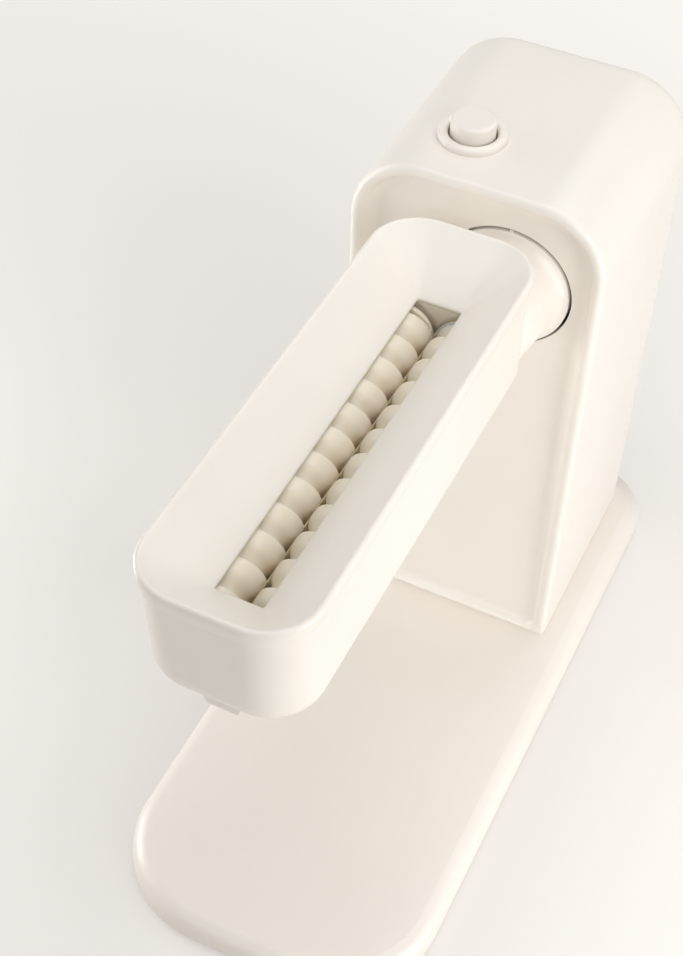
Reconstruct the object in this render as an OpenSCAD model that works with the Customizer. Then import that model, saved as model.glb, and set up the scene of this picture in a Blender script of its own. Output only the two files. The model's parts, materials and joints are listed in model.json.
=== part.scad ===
// Electric pasta maker: a flat base, an upright column with the drive, and a
// horizontal arm with a sloped hopper tray over two side-by-side screws.
// Units mm. Z up, floor at Z = 0. The front (arm end) faces -Y, +X is the right.

/* [Base] */
// Half width of the base plate
base_half_w = 74.5; // [66:0.5:90]
// Thickness of the base plate
base_t = 14; // [12:0.5:22]
// Front end of the base, measured from the column front
base_front = -220.5; // [-280:0.5:-180]
// Rear end of the base, measured from the column front
base_rear = 133; // [124:0.5:160]
// Radius of the two front corners
base_r_front = 50; // [30:1:60]
// Radius of the two rear corners
base_r_rear = 34; // [20:1:44]
// Radius of the rounded top edge
base_edge_r = 8; // [2:0.5:10]
// Width of the solid border of the hollow base
base_wall = 7; // [6:0.5:10]
// Thickness of the base's top skin
base_skin = 3.5; // [2.5:0.1:6]
// Radius of the rubber feet
foot_r = 8; // [5:0.5:10]
// Distance of the feet from the floor to the base
foot_h = 1.5; // [1:0.1:4]

/* [Column] */
// Half width of the column
col_half_w = 58; // [56:0.5:70]
// Top of the column above the underside of the base plate
col_top = 276.6; // [270:0.2:310]
// Radius of the arched top corners
col_r = 32; // [28:0.5:36]
// Depth of the column from front to rear
col_depth = 117; // [108:0.5:140]
// Wall thickness of the column
col_wall = 2.8; // [2:0.1:3.6]
// Depth of the front recess at the arm
recess_d = 6.8; // [6:0.1:9]
// Depth of the front recess at the foot
recess_foot_d = 3.6; // [2:0.1:5.5]
// Thickness of the front panel behind the recess
panel_t = 3; // [2.4:0.1:5]

/* [Drive axis] */
// Distance of each screw axis from the middle plane
axis_x = 13.4; // [13.3:0.1:15]
// Height of the screw axes above the underside of the base plate
axis_z = 225.2; // [215:0.1:232]

/* [Arm] */
// Front end of the hopper rim
rim_front = -233; // [-260:0.5:-190]
// Rear end of the hopper rim
rim_rear = -6.5; // [-10:0.5:-4]
// Corner radius of the hopper rim in plan
rim_r = 22; // [20:0.5:24]
// Overhang of the hopper rim over the arm wall
rim_over = 1; // [0.4:0.1:2]
// Height of the hopper rim band
rim_h = 4; // [3:0.1:6]
// Height of the rim above the slot
hopper_rise = 19.3; // [12:0.1:26]
// Length of the front slope in plan
slope_front = 25.7; // [22:0.1:34]
// Length of the rear slope in plan
slope_rear = 28.3; // [26:0.1:34]
// Half width of the hopper slot
slot_half_w = 9.8; // [7:0.1:12]
// Depth of the arm body below the screw axes
arm_drop = 28.2; // [26:0.1:34]
// Radius of the arm's rounded lower edge
arm_edge_r = 9; // [5:0.5:9]
// Wall thickness of the arm body
arm_wall = 2.6; // [2:0.1:3]
// Radius of the round collar that enters the column
collar_r = 29; // [28:0.1:30]
// Gap between the collar and the hole in the column
collar_gap = 1.2; // [0.8:0.1:1.6]

/* [Screws] */
// Outer radius of the screw flights
screw_r = 13.2; // [11:0.1:13.2]
// Root radius of the screws
root_r = 8.6; // [7:0.1:10]
// Distance from one flight to the next
pitch = 14.7; // [10:0.1:24]
// Gap between the flights and the barrel
screw_gap = 0.3; // [0.2:0.05:0.6]
// Wall thickness of the barrel
barrel_wall = 2.4; // [1.8:0.1:2.8]
// Radius of the screw shafts at the rear
shaft_r = 6; // [4:0.1:6.6]
// Radius of the screw pins at the front
pin_r = 4; // [3:0.1:5]
// Width of the outlet nib
nib_w = 16; // [12:0.5:20]

/* [Drive] */
// Width of the pair of gears on the screws
pair_w = 6.7; // [5:0.1:7]
// Width of the output gear
gear_w = 8; // [6:0.5:10]
// Radius of the motor can
motor_r = 22; // [18:0.5:24]

/* [Button] */
// Sideways position of the button
btn_x = -16.6; // [-20:0.1:-12]
// Distance of the button behind the column front
btn_y = 31.7; // [30:0.1:50]
// Radius of the button cap
btn_r = 9.8; // [8:0.1:12]
// Height of the button cap above the column top
btn_h = 9; // [5:0.1:10]

/* [Hidden] */
$fn = 48;
e = 0.01;
// moves the column front plane into the frame
shift_y = -(rim_front + base_rear) / 2;
run = 0.06;
hole_r = collar_r + collar_gap;
bore_r = screw_r + screw_gap;
barrel_r = bore_r + barrel_wall;
slot_z = axis_z + screw_r + 2.5;
slot_lip = 1.55;
rim_z = slot_z + hopper_rise;
slot_front = rim_front + slope_front;
slot_rear = rim_rear - slope_rear;
tray_seat = rim_z - rim_h;
arm_draft = 2;
arm_bottom = axis_z - arm_drop;
arm_r = rim_r - rim_over;
arm_hw = axis_x + barrel_r + 4.7;
rim_half_w = arm_hw + rim_over;
arm_front = rim_front + 3;
arm_rear = rim_rear - 1.5;
barrel_top = slot_z - slot_lip - 0.15;
plate_y = slot_rear + 0.8;
bore_front = arm_front + 14;
flight_rear = slot_rear - 3.8;
flight_front = bore_front + 1;
turns = (flight_rear - flight_front) / pitch;
nib_y = arm_front + 8;
mesh_n = 20;
mesh_m = 2 * axis_x / mesh_n;
big_n = 48;
small_n = 16;
motor_z = axis_z - (big_n + small_n) / 2;
// rear face of the front panel; the drive is set out from it
py = recess_d + panel_t;

// ---------- helpers ----------
module placed() { translate([0, shift_y, foot_h]) children(); }
// a 2D shape (x, z) pushed from y1 forward to y0
module along_y(y0, y1) { translate([0, y1, 0]) rotate([90, 0, 0]) linear_extrude(height = y1 - y0) children(); }
// a cylinder along Y
module cyl_y(x, z, r, y0, y1, fn = 48) {
  translate([x, y1, z]) rotate([90, 0, 0]) cylinder(r = r, h = y1 - y0, $fn = fn);
}
module box(x0, x1, y0, y1, z0, z1) { translate([x0, y0, z0]) cube([x1 - x0, y1 - y0, z1 - z0]); }

// half section of a plate edge: r outwards, height upwards, rounded top and bottom edges
module edge_2d(r, h, ft, fb) {
  square([r - ft, h]);
  square([r - fb, h / 2]);
  translate([0, fb]) square([r, h - ft - fb]);
  intersection() {
    translate([r - ft, h - ft]) circle(r = ft);
    square([r, h]);
  }
  translate([r - fb, fb]) circle(r = fb);
}
// plate with two corner radii (front rf, rear rr) and rounded edges
module plate(hw, y0, y1, rf, rr, h, ft, fb) {
  for (k = [0, 1]) mirror([k, 0, 0]) {
    translate([hw - rf, y0 + rf, 0]) rotate([0, 0, -90]) rotate_extrude(angle = 90) edge_2d(rf, h, ft, fb);
    translate([hw - rr, y1 - rr, 0]) rotate_extrude(angle = 90) edge_2d(rr, h, ft, fb);
    translate([hw - rr, 0, 0]) along_y(y0 + rf, y1 - rr) edge_2d(rr, h, ft, fb);
  }
  translate([hw - rf, y0 + rf, 0]) rotate([90, 0, -90]) linear_extrude(height = 2 * (hw - rf)) edge_2d(rf, h, ft, fb);
  translate([rr - hw, y1 - rr, 0]) rotate([90, 0, 90]) linear_extrude(height = 2 * (hw - rr)) edge_2d(rr, h, ft, fb);
  translate([rr - hw, y0 + rf, 0]) cube([2 * (hw - rr), y1 - y0 - rf - rr, h]);
}
// plan outline with four equal corners
module round_rect(hw, y0, y1, r, fn = 48) {
  for (sx = [-1, 1]) for (y = [y0 + r, y1 - r]) translate([sx * (hw - r), y]) circle(r = r, $fn = fn);
  translate([-hw, y0 + r]) square([2 * hw, y1 - y0 - 2 * r]);
  translate([-hw + r, y0]) square([2 * (hw - r), y1 - y0]);
}
// plan outline with two corner radii
module plan_2d(hw, y0, y1, rf, rr) {
  for (s = [-1, 1]) {
    translate([s * (hw - rf), y0 + rf]) circle(r = rf);
    translate([s * (hw - rr), y1 - rr]) circle(r = rr);
  }
  translate([-hw, y0 + rf]) square([2 * hw, y1 - y0 - rf - rr]);
  translate([rf - hw, y0]) square([2 * (hw - rf), rf + 1]);
  translate([rr - hw, y1 - rr - 1]) square([2 * (hw - rr), rr + 1]);
}
// involute gear outline with n teeth, module m; a tooth points along +x
function inv(a) = tan(a) - a * PI / 180;
function gear_half(n, m, r, back) =
  let (rp = n * m / 2, rb = rp * cos(20), a = r > rb ? acos(rb / r) : 0)
  (PI / 2 / n - back / rp + inv(20) - inv(a)) * 180 / PI;
module gear_2d(n, m, back = 0.12) {
  rp = n * m / 2; ra = rp + 0.9 * m; rr = rp - 1.2 * m; rb = rp * cos(20);
  r0 = max(rb, rr); st = [for (i = [0:4]) r0 + (ra - r0) * i / 4];
  pts = [for (k = [0:n - 1]) let (c = k * 360 / n) each concat(
    [[rr * cos(c - gear_half(n, m, r0, back)), rr * sin(c - gear_half(n, m, r0, back))]],
    [for (r = st) [r * cos(c - gear_half(n, m, r, back)), r * sin(c - gear_half(n, m, r, back))]],
    [for (i = [4:-1:0]) let (r = st[i]) [r * cos(c + gear_half(n, m, r, back)), r * sin(c + gear_half(n, m, r, back))]],
    [[rr * cos(c + gear_half(n, m, r0, back)), rr * sin(c + gear_half(n, m, r0, back))]])];
  polygon(pts);
}
module gear(x, z, n, m, y0, y1, turn) {
  translate([x, y1, z]) rotate([90, 0, 0]) linear_extrude(height = y1 - y0) rotate(turn) gear_2d(n, m);
}
module pan_screw(x, y, z, r, hd, len) {
  // head seat at z, shank upwards
  translate([x, y, z - hd]) cylinder(r = 2 * r, h = hd, $fn = 24);
  translate([x, y, z - e]) cylinder(r = r, h = len + e, $fn = 24);
}

// ---------- base ----------
post_x = col_half_w - 11;
col_post = [[-post_x, py + 7.2], [post_x, py + 7.2], [-post_x, col_depth - 16], [post_x, col_depth - 16]];
cover_x = base_half_w - base_wall - 3;
cover_pts = [for (y = [base_front + base_r_front + 5, -34, base_rear - base_r_rear - 2]) for (s = [-1, 1])
  [s * cover_x, y]];
cable_y = col_depth * 0.6;
module base_plate() placed() color([0.93, 0.90, 0.85]) difference() {
  plate(base_half_w, base_front, base_rear, base_r_front, base_r_rear, base_t, base_edge_r, 1.5);
  // hollow underside in two bays
  translate([0, 0, -1]) linear_extrude(height = base_t - base_skin + 1) difference() {
    plan_2d(base_half_w - base_wall, base_front + base_wall, base_rear - base_wall, base_r_front - base_wall,
      base_r_rear - base_wall);
    translate([-base_half_w, -6]) square([2 * base_half_w, 6]);
    for (p = cover_pts) translate(p) circle(r = 4.5);
    for (p = col_post) translate(p) circle(r = 6);
  }
  // seat of the bottom cover
  translate([0, 0, -1]) linear_extrude(height = 3.2) cover_plan(0);
  for (p = cover_pts) translate([p[0], p[1], 0]) cylinder(r = 1.55, h = 9, $fn = 24);
  for (p = col_post) {
    translate([p[0], p[1], 0]) cylinder(r = 2.1, h = base_t + 2, $fn = 24);
    translate([p[0], p[1], 0]) cylinder(r = 4.4, h = 5.5, $fn = 24);
  }
  // cable way up into the column
  translate([0, cable_y, 5]) cylinder(r = 7, h = base_t);
}
// outline of the bottom cover, g smaller all round than its seat
module cover_plan(g) plan_2d(base_half_w - base_wall + 2 - g, base_front + base_wall - 2 + g,
  base_rear - base_wall + 2 - g, base_r_front - base_wall + 2 - g, base_r_rear - base_wall + 2 - g);
module ballast_plate() placed() color([0.45, 0.46, 0.48])
  translate([0, 0, 5.4]) linear_extrude(height = base_t - base_skin - 5.6) difference() {
    round_rect(cover_x - 10.5, base_front + 20.5, -16, base_r_front / 2 + 1);
    for (p = cover_pts) translate(p) circle(r = 6);
  }
module bottom_cover() placed() color([0.30, 0.30, 0.31]) difference() {
  translate([0, 0, 0.2]) linear_extrude(height = 2) cover_plan(0.3);
  for (p = cover_pts) translate([p[0], p[1], -1]) cylinder(r = 1.8, h = 5, $fn = 24);
  for (p = cover_pts) translate([p[0], p[1], -1]) cylinder(r = 3.4, h = 2.2, $fn = 24);
  for (p = col_post) translate([p[0], p[1], -1]) cylinder(r = 4.6, h = 5, $fn = 24);
  for (p = feet_pts) translate([p[0], p[1], -1]) cylinder(r = foot_r + 0.15, h = 2, $fn = 36);
}
foot_x = base_half_w - base_wall - foot_r - 12;
feet_pts = [[-foot_x, base_front + base_r_front - 6], [foot_x, base_front + base_r_front - 6],
  [-foot_x, base_rear - base_r_rear - 34], [foot_x, base_rear - base_r_rear - 34]];
module rubber_feet() placed() color([0.16, 0.16, 0.16])
  for (p = feet_pts) translate([p[0], p[1], -foot_h]) {
    cylinder(r = foot_r, h = foot_h + 1, $fn = 36);
  }
module cover_screws() placed() color([0.62, 0.62, 0.63])
  for (p = cover_pts) difference() {
    pan_screw(p[0], p[1], 1.2, 1.5, 1.1, 7);
    translate([p[0] - 2, p[1] - 0.35, 0]) cube([4, 0.7, 0.6]);
  }
module column_screws() placed() color([0.62, 0.62, 0.63])
  for (p = col_post) difference() {
    pan_screw(p[0], p[1], 5.5, 2, 2.4, base_t + 6);
    translate([p[0] - 3, p[1] - 0.4, 3]) cube([6, 0.8, 0.8]);
  }

// ---------- column ----------
cz = col_top - col_r;
cx = col_half_w - col_r;
module col_out_2d() {
  // r 0..col_r, y 0..depth, front edge 1.2, rear edge 9
  ff = 1.2; fr = 9;
  translate([0, 0]) square([col_r - fr, col_depth]);
  translate([0, ff]) square([col_r, col_depth - ff - fr]);
  square([col_r - ff, col_depth / 2]);
  translate([col_r - ff, ff]) circle(r = ff, $fn = 24);
  translate([col_r - fr, col_depth - fr]) circle(r = fr);
}
module col_in_2d() {
  t = col_wall; y0 = py; fr = 6.2; y1 = col_depth - 4;
  translate([0, y0]) square([col_r - t - fr, y1 - y0]);
  translate([0, y0]) square([col_r - t, y1 - y0 - fr]);
  translate([col_r - t - fr, y1 - fr]) circle(r = fr);
}
// S-shaped front recess: lip round a, inner round b
module recess_2d() {
  a = 3.5; b = 7.2; r1 = col_r - 1; dy = recess_d - a - b;
  dx = sqrt(pow(a + b, 2) - dy * dy); r2 = r1 - dx;
  tx = r1 - dx * a / (a + b); ty = a + dy * a / (a + b);
  difference() {
    union() {
      polygon([[0, -2], [r1, -2], [r1, 0], [r1, a], [tx, ty], [r2, recess_d - b], [r2, recess_d], [0, recess_d]]);
      intersection() {
        translate([r2, recess_d - b]) circle(r = b);
        translate([0, -2]) square([r1, recess_d + 2]);
      }
    }
    translate([r1, a]) circle(r = a);
    translate([r1, a]) square([20, 20]);
  }
}
// arched solid from z0 up: the 2D child is its section, x outwards, y to the rear
module arch_solid(z0) {
  for (s = [0, 1]) mirror([s, 0, 0]) {
    translate([cx, 0, cz]) rotate([-90, 0, 0]) rotate_extrude() children();
    translate([cx, 0, z0]) linear_extrude(height = cz - z0) children();
  }
  translate([cx, 0, cz]) rotate([0, -90, 0]) linear_extrude(height = 2 * cx) children();
}
// flat arched plate whose corners have radius r about the same centres
module arch_plate_2d(r, z0) {
  for (s = [-1, 1]) translate([s * cx, cz]) circle(r = r);
  translate([-cx - r, z0]) square([2 * (cx + r), cz - z0]);
  translate([-cx, z0]) square([2 * cx, cz - z0 + r]);
}
recess_z0 = base_t + 3.2;
// the panel leans forward below this height
lean_z = axis_z - hole_r - 9;
module recess() intersection() {
  union() {
    arch_solid(base_t) recess_2d();
    box(-cx - e, cx + e, -2, recess_d, base_t, cz + e);
  }
  // foot of the recess, same S-shaped edge
  union() {
    translate([60, 0, recess_z0 + col_r]) rotate([0, 90, 0]) mirror([0, 0, 1]) linear_extrude(height = 120)
      translate([0, 0]) recess_2d();
    box(-60, 60, -2, recess_d, recess_z0 + col_r - e, col_top + 5);
  }
}
ears = [30, 150, 210, 330];
ear_r = hole_r + 9.8;
posts = [[col_half_w - 13, axis_z + 29.8], [axis_x - ear_r - 2.4, axis_z + 4.8], [axis_x - 26.4, motor_z - 25.2],
  [col_half_w - 13, motor_z - 21.2]];
rear_x = col_half_w - 12.7;
cover_at = [[-rear_x, 62], [rear_x, 62], [-rear_x, cz - 16.6], [rear_x, cz - 16.6]];
board_x = col_half_w - 8;
board_y = py + 20;
board_at = [[board_y + 6, 66], [board_y + 58, 66], [board_y + 6, 144], [board_y + 58, 144]];
module column_shell() placed() color([0.95, 0.92, 0.87]) {
  difference() {
    union() {
      difference() {
        union() {
          arch_solid(base_t) col_out_2d();
          box(-cx - e, cx + e, 0, col_depth, base_t, cz + e);
        }
        arch_solid(base_t + 3) col_in_2d();
        box(-cx - e, cx + e, py, col_depth - 4, base_t + 3, cz + e);
        recess();
        // thin parting groove round the foot
        difference() {
          box(-col_half_w - 9, col_half_w + 9, -10, col_depth + 9, base_t - 1, base_t + 0.7);
          box(0.7 - col_half_w, col_half_w - 0.7, 0.7, col_depth - 0.7, base_t - 2, base_t + 2);
        }
      }
      // lower panel leans forward
      along_x(12 - col_half_w, col_half_w - 12) polygon([[recess_d + 1, lean_z], [recess_d, lean_z],
        [recess_foot_d, recess_z0 + 6], [recess_foot_d, recess_z0 - 1], [recess_d + 1, recess_z0 - 1]]);
      for (a = ears) cyl_y(axis_x + ear_r * cos(a), axis_z + ear_r * sin(a), 4.2, py - 1, py + 4.2, 24);
      for (p = posts) cyl_y(p[0], p[1], 4.2, py - 1, py + 17.2, 24);
      for (p = cover_at) cyl_y(p[0], p[1], 3.4, col_depth - 13, col_depth - 3, 24);
      for (p = col_post) translate([p[0], p[1], base_t + 1]) cylinder(r = 4.6, h = 14, $fn = 24);
      for (p = board_at) translate([-col_half_w + 2, p[0], p[1]]) rotate([0, 90, 0])
        cylinder(r = 3, h = col_half_w - board_x - 2, $fn = 24);
    }
    cyl_y(axis_x, axis_z, hole_r, -1, py + 2, 96);
    box(axis_x - 1.4, axis_x + 1.4, 4, recess_d + 1.4, axis_z + hole_r - 1, axis_z + hole_r + 1.6);
    for (a = ears) cyl_y(axis_x + ear_r * cos(a), axis_z + ear_r * sin(a), 1.5, recess_d + 1.4, py + 5.2, 24);
    for (p = posts) cyl_y(p[0], p[1], 1.5, recess_d + 1.4, py + 18.2, 24);
    for (p = cover_at) cyl_y(p[0], p[1], 1.2, col_depth - 12, col_depth + 1, 24);
    for (p = col_post) translate([p[0], p[1], base_t - 1]) cylinder(r = 2, h = 13, $fn = 24);
    for (p = board_at) translate([-col_half_w + 4, p[0], p[1]]) rotate([0, 90, 0]) cylinder(r = 1, h = 6, $fn = 24);
    translate([btn_x, btn_y, col_top - 6]) cylinder(r = btn_r + 2.8, h = 10);
    // rear opening with a seat for the cover
    along_y(col_depth - 6, col_depth + 1) arch_plate_2d(col_r - 16, 30);
    along_y(col_depth - 2, col_depth + 1) arch_plate_2d(col_r - 9.4, 24);
    translate([0, cable_y, base_t - 1]) cylinder(r = 7, h = 6);
  }
}
module rear_cover() placed() color([0.90, 0.87, 0.82]) difference() {
  along_y(col_depth - 2, col_depth) arch_plate_2d(col_r - 9.7, 24.3);
  for (p = cover_at) {
    cyl_y(p[0], p[1], 1.4, col_depth - 3, col_depth + 1, 24);
    cyl_y(p[0], p[1], 2.4, col_depth - 1.1, col_depth + 1, 24);
  }
  for (i = [0:7]) along_y(col_depth - 3, col_depth + 1) translate([0, motor_z - 17 + 6.5 * i]) slot_2d(24, 1.5);
  for (i = [0:3]) along_y(col_depth - 3, col_depth + 1) translate([0, 70 + 6.5 * i]) slot_2d(24, 1.5);
  box(-12.2, 12.2, col_depth - 3, col_depth + 1, inlet_z - 7.5, inlet_z + 7.5);
}
module slot_2d(hw, r) {
  square([2 * (hw - r), 2 * r], center = true);
  for (s = [-1, 1]) translate([s * (hw - r), 0]) circle(r = r, $fn = 16);
}
module rear_cover_screws() placed() color([0.62, 0.62, 0.63])
  for (p = cover_at) difference() {
    union() {
      cyl_y(p[0], p[1], 2.3, col_depth - 1.1, col_depth - 0.1, 24);
      cyl_y(p[0], p[1], 1.2, col_depth - 10, col_depth - 1, 24);
    }
    box(p[0] - 1.6, p[0] + 1.6, col_depth - 0.6, col_depth + 1, p[1] - 0.3, p[1] + 0.3);
  }
inlet_z = base_t + 25.5;
module power_inlet() placed() color([0.12, 0.12, 0.12]) difference() {
  union() {
    box(-12, 12, col_depth - 17, col_depth, inlet_z - 7.3, inlet_z + 7.3);
    along_y(col_depth, col_depth + 1.4) translate([0, inlet_z]) rounded_2d(14.5, 10, 3);
  }
  along_y(col_depth - 14, col_depth + 2) translate([0, inlet_z]) rounded_2d(10, 5.2, 4);
}
module inlet_pins() placed() color([0.75, 0.75, 0.76])
  for (s = [-1, 1]) cyl_y(4.3 * s, inlet_z, 1.15, col_depth - 14, col_depth - 5, 24);
module rounded_2d(hw, hh, r) {
  for (sx = [-1, 1]) for (sy = [-1, 1]) translate([sx * (hw - r), sy * (hh - r)]) circle(r = r, $fn = 24);
  square([2 * (hw - r), 2 * hh], center = true);
  square([2 * hw, 2 * (hh - r)], center = true);
}
module along_x(x0, x1) {
  // 2D x is y, 2D y is z
  translate([x0, 0, 0]) rotate([90, 0, 90]) linear_extrude(height = x1 - x0) children();
}

// ---------- arm coupling and drive ----------
module sector_2d(ri, ro, a0, a1) difference() {
  intersection() {
    circle(r = ro);
    polygon([[0, 0], 2 * ro * [cos(a0), sin(a0)], 2 * ro * [cos((a0 + a1) / 2), sin((a0 + a1) / 2)],
      2 * ro * [cos(a1), sin(a1)]]);
  }
  circle(r = ri);
}
module ring_y(x, z, ri, ro, y0, y1, fn = 48) difference() {
  cyl_y(x, z, ro, y0, y1, fn);
  cyl_y(x, z, ri, y0 - 1, y1 + 1, fn);
}
lug_r = collar_r - 3;
hub_r = collar_r - 7;
module bayonet_socket() placed() color([0.35, 0.35, 0.36]) {
  ring_y(axis_x, axis_z, hole_r + 1.3, hole_r + 5.3, py, py + 10.2, 96);
  ring_y(axis_x, axis_z, 10, hole_r + 5.3, py + 7.2, py + 10.2, 96);
  ring_y(axis_x, axis_z, 10, hub_r, py - 2.2, py + 7.7, 72);
  for (k = [0:2]) {
    translate([axis_x, py + 2.2, axis_z]) rotate([90, 0, 0]) linear_extrude(height = 3.6)
      sector_2d(hub_r - 1, lug_r - 0.4, 120 * k - 22, 120 * k + 22);
    translate([axis_x, py + 7.7, axis_z]) rotate([90, 0, 0]) linear_extrude(height = 5.6)
      sector_2d(hub_r - 1, lug_r - 0.4, 120 * k - 26, 120 * k - 21.2);
  }
  for (a = ears) translate([axis_x, py + 7.2, axis_z]) rotate([90, 0, 0]) linear_extrude(height = 3) difference() {
    rotate(a) union() {
      translate([hole_r + 3.8, -4.6]) square([ear_r - hole_r - 3.8, 9.2]);
      translate([ear_r, 0]) circle(r = 4.6, $fn = 24);
    }
    circle(r = hole_r + 2.8);
    rotate(a) translate([ear_r, 0]) circle(r = 1.7, $fn = 24);
  }
}
module socket_screws() placed() color([0.62, 0.62, 0.63])
  for (a = ears) {
    cyl_y(axis_x + ear_r * cos(a), axis_z + ear_r * sin(a), 3, py + 7.2, py + 9.2, 24);
    cyl_y(axis_x + ear_r * cos(a), axis_z + ear_r * sin(a), 1.5, py - 0.8, py + 7.2 + e, 24);
  }
// claws: the screw's and the output shaft's leave 80 degrees of free play between them
claw_y = py + 3;
module output_shaft() placed() color([0.70, 0.70, 0.72]) {
  cyl_y(axis_x, axis_z, shaft_r, claw_y + 2, py + 38.2);
  cyl_y(axis_x, axis_z, 8.5, claw_y, claw_y + 2.2);
  translate([axis_x, claw_y + e, axis_z]) rotate([90, 0, 0]) linear_extrude(height = 7.2)
    for (a = [0, 180]) sector_2d(3, 8.2, a - 25, a + 25);
}
module output_gear() placed() color([0.86, 0.84, 0.78]) difference() {
  union() {
    gear(axis_x, axis_z, big_n, 1, py + 26.2 - gear_w / 2, py + 26.2 + gear_w / 2, 0);
    cyl_y(axis_x, axis_z, shaft_r + 4, py + 25.2 - gear_w / 2, py + 28.2 + gear_w / 2);
  }
  cyl_y(axis_x, axis_z, shaft_r, py + 10, py + 40);
  for (k = [0:4]) cyl_y(axis_x + 15.5 * cos(72 * k), axis_z + 15.5 * sin(72 * k), 3.2, py + 10, py + 40, 24);
}
module motor_pinion() placed() color([0.70, 0.66, 0.45]) {
  gear(axis_x, motor_z, small_n, 1, py + 25.7 - gear_w / 2, py + 26.7 + gear_w / 2, 180 / small_n);
  cyl_y(axis_x, motor_z, 4, py + 26.2 + gear_w / 2, py + 40.2);
}
plate_l = posts[1][0] - 5;
plate_rx = col_half_w - 7;
plate_pts = [[plate_l, axis_z - 1.2], [plate_l, axis_z + 10.8], [axis_x - 13.4, axis_z + 25.8],
  [plate_rx - 13, axis_z + 34.3], [plate_rx - 1.5, axis_z + 34.3], [plate_rx, motor_z - 27.2],
  [axis_x - 32.4, motor_z - 31.2]];
module gearbox_plate() placed() color([0.66, 0.67, 0.69]) difference() {
  along_y(py + 17.2, py + 19.7) polygon(plate_pts);
  cyl_y(axis_x, axis_z, shaft_r + run, py + 16, py + 21);
  for (p = posts) cyl_y(p[0], p[1], 1.7, py + 16, py + 21, 24);
}
module gearbox_cover() placed() color([0.60, 0.61, 0.63]) difference() {
  union() {
    along_y(py + 34.7, py + 37.2) polygon(plate_pts);
    for (p = posts) cyl_y(p[0], p[1], 4.2, py + 19.7, py + 35, 24);
  }
  cyl_y(axis_x, axis_z, shaft_r + run, py + 34, py + 38);
  cyl_y(axis_x, motor_z, 9, py + 34, py + 38);
  for (p = posts) cyl_y(p[0], p[1], 1.7, py + 19, py + 38, 24);
}
module gearbox_screws() placed() color([0.62, 0.62, 0.63])
  for (p = posts) {
    cyl_y(p[0], p[1], 3, py + 37.2, py + 39.2, 24);
    cyl_y(p[0], p[1], 1.5, py + 1.2, py + 37.2 + e, 24);
  }
module motor_gear_head() placed() color([0.55, 0.56, 0.58]) difference() {
  union() {
    cyl_y(axis_x, motor_z, motor_r - 2, py + 37.2, py + 58.2);
    cyl_y(axis_x, motor_z, 8.8, py + 35.7, py + 37.2 + e);
  }
  cyl_y(axis_x, motor_z, 4 + run, py + 35, py + 41.2);
}
motor_end = col_depth - 14;
module motor_body() placed() color([0.38, 0.39, 0.41]) {
  cyl_y(axis_x, motor_z, motor_r, py + 58.2, motor_end);
  cyl_y(axis_x, motor_z, 9, motor_end - e, motor_end + 3);
  for (s = [-1, 1]) box(axis_x + 13 * s - 2, axis_x + 13 * s + 2, motor_end - e, motor_end + 5, motor_z - 0.4,
    motor_z + 0.4);
}
module control_board() placed() color([0.20, 0.42, 0.28]) translate([-board_x, board_y, 0]) {
  difference() {
    cube_at(0, 1.6, 0, 64, 60, 150);
    for (p = board_at) translate([-1, p[0] - board_y, p[1]]) rotate([0, 90, 0]) cylinder(r = 1.2, h = 6, $fn = 24);
  }
  cube_at(1.6 - e, 20, 10, 32, 74, 98);
  for (y = [42, 54]) translate([1.6 - e, y, 86]) rotate([0, 90, 0]) cylinder(r = 4.5, h = 16, $fn = 24);
  cube_at(1.6 - e, 8, 14, 54, 120, 134);
}
module cube_at(x0, x1, y0, y1, z0, z1) box(x0, x1, y0, y1, z0, z1);

// ---------- button ----------
module at_button() translate([btn_x, btn_y, col_top]) children();
cap_gap = 0.8;
module button_bezel() placed() color([0.93, 0.89, 0.84]) at_button() {
  rotate_extrude() {
    translate([btn_r + cap_gap, 0]) square([4, 1.2]);
    intersection() {
      translate([btn_r + 3.1, 0.2]) scale([2.3, 1.7]) circle(r = 1, $fn = 36);
      translate([btn_r, 0]) square([6, 3]);
    }
    translate([btn_r + cap_gap, -9]) square([1.9, 9.4]);
    translate([3.5, -9]) square([btn_r - 2, 1.6]);
  }
  for (s = [-1, 1]) translate([s * 11 - 1, -5, -24]) cube([2, 10, 15.5]);
}
module button_cap() placed() color([0.90, 0.86, 0.80]) at_button() {
  rotate_extrude() {
    difference() {
      union() {
        translate([0, -4]) square([btn_r, btn_h + 4 - 1.4]);
        translate([0, btn_h - 2]) square([btn_r - 1.4, 2]);
        translate([btn_r - 1.4, btn_h - 1.4]) circle(r = 1.4);
      }
      translate([0, -5]) square([btn_r - 1.8, btn_h + 3]);
    }
    translate([0, -11]) square([3.1, btn_h + 9.5]);
  }
}
// coil swept along a helix, mean radius r, wire radius w
module coil(r, w, turns, h, seg = 14, sides = 6) {
  n = turns * seg;
  pts = [for (i = [0:n]) let (a = i * 360 / seg, z = w + (h - 2 * w) * i / n) for (k = [0:sides - 1])
    let (b = k * 360 / sides) [(r + w * cos(b)) * cos(a), (r + w * cos(b)) * sin(a), z + w * sin(b)]];
  quads = [for (i = [0:n - 1]) for (k = [0:sides - 1]) let (p = i * sides + k, q = i * sides + (k + 1) % sides)
    [p, p + sides, q + sides, q]];
  polyhedron(points = pts, faces = concat(quads, [[for (k = [0:sides - 1]) k]],
    [[for (k = [sides - 1:-1:0]) n * sides + k]]));
}
module button_spring() placed() color([0.70, 0.70, 0.72]) at_button()
  translate([0, 0, -7.4]) coil(5, 0.45, 6, btn_h + 5.4);
module micro_switch() placed() color([0.14, 0.14, 0.15]) at_button() {
  translate([-9.9, -3, -23.4]) cube([19.8, 6, 8.2]);
  translate([-1.5, -1.5, -15.3]) cube([3, 3, 1]);
  for (x = [-7, 0, 7]) translate([x - 1, -0.4, -27]) cube([2, 0.8, 3.7]);
}

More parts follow.
